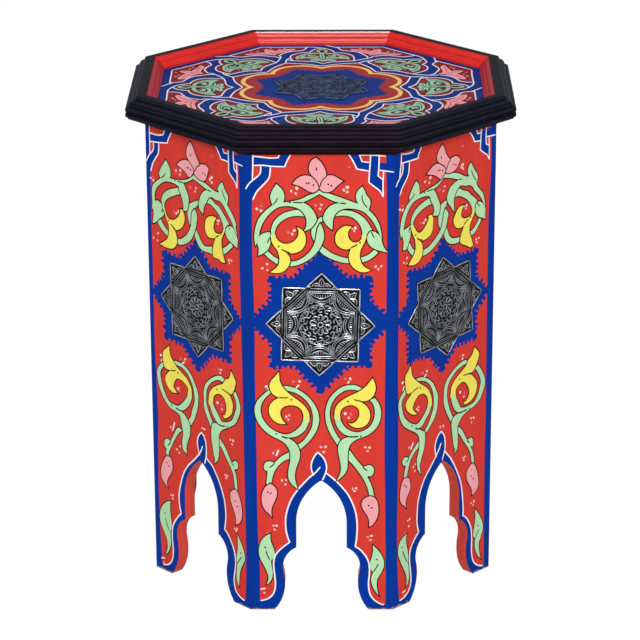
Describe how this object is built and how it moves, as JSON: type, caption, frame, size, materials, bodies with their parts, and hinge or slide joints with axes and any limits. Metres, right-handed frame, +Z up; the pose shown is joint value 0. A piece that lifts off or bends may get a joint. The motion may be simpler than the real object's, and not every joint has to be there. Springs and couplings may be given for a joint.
{
  "type": "octagonal side table",
  "caption": "Painted octagonal wooden side table or stool: arched side boards that form the feet, a shallow tray top with a moulded rim, and stamped metal stars.",
  "frame": {"origin": "centre of the footprint, on the floor", "axes": "+Z up, the front side board faces -Y, +X to the right as seen from the front"},
  "size_m": [0.389, 0.389, 0.5156],
  "materials": {
    "painted_side": "painted, satin",
    "painted_top": "painted, satin",
    "black_rim": "painted, satin",
    "red_slope": "painted, gloss",
    "bare_wood": "bare",
    "stamped_metal": "stamped and darkened",
    "nail_steel": "bright"
  },
  "bodies": {
    "root": {"side_panel_1": "painted_side", "side_panel_2": "painted_side", "side_panel_3": "painted_side", "side_panel_4": "painted_side", "side_panel_5": "painted_side", "side_panel_6": "painted_side", "side_panel_7": "painted_side", "side_panel_8": "painted_side", "top_board": "painted_top", "rim_moulding_1": "black_rim", "rim_moulding_2": "black_rim", "rim_moulding_3": "black_rim", "rim_moulding_4": "black_rim", "rim_moulding_5": "black_rim", "rim_moulding_6": "black_rim", "rim_moulding_7": "black_rim", "rim_moulding_8": "black_rim", "tray_moulding_1": "red_slope", "tray_moulding_2": "red_slope", "tray_moulding_3": "red_slope", "tray_moulding_4": "red_slope", "tray_moulding_5": "red_slope", "tray_moulding_6": "red_slope", "tray_moulding_7": "red_slope", "tray_moulding_8": "red_slope", "top_cleat_1": "bare_wood", "top_cleat_2": "bare_wood", "top_cleat_3": "bare_wood", "top_cleat_4": "bare_wood", "top_cleat_5": "bare_wood", "top_cleat_6": "bare_wood", "top_cleat_7": "bare_wood", "top_cleat_8": "bare_wood", "corner_block_1": "bare_wood", "corner_block_2": "bare_wood", "corner_block_3": "bare_wood", "corner_block_4": "bare_wood", "corner_block_5": "bare_wood", "corner_block_6": "bare_wood", "corner_block_7": "bare_wood", "corner_block_8": "bare_wood", "star_plaque_1": "stamped_metal", "star_plaque_2": "stamped_metal", "star_plaque_3": "stamped_metal", "star_plaque_4": "stamped_metal", "star_plaque_5": "stamped_metal", "star_plaque_6": "stamped_metal", "star_plaque_7": "stamped_metal", "star_plaque_8": "stamped_metal", "top_star_plaque": "stamped_metal", "board_nails": "nail_steel", "rim_nails": "nail_steel", "cleat_nails": "nail_steel", "plaque_pins": "nail_steel", "top_plaque_pins": "nail_steel"}
  },
  "joints": []
}
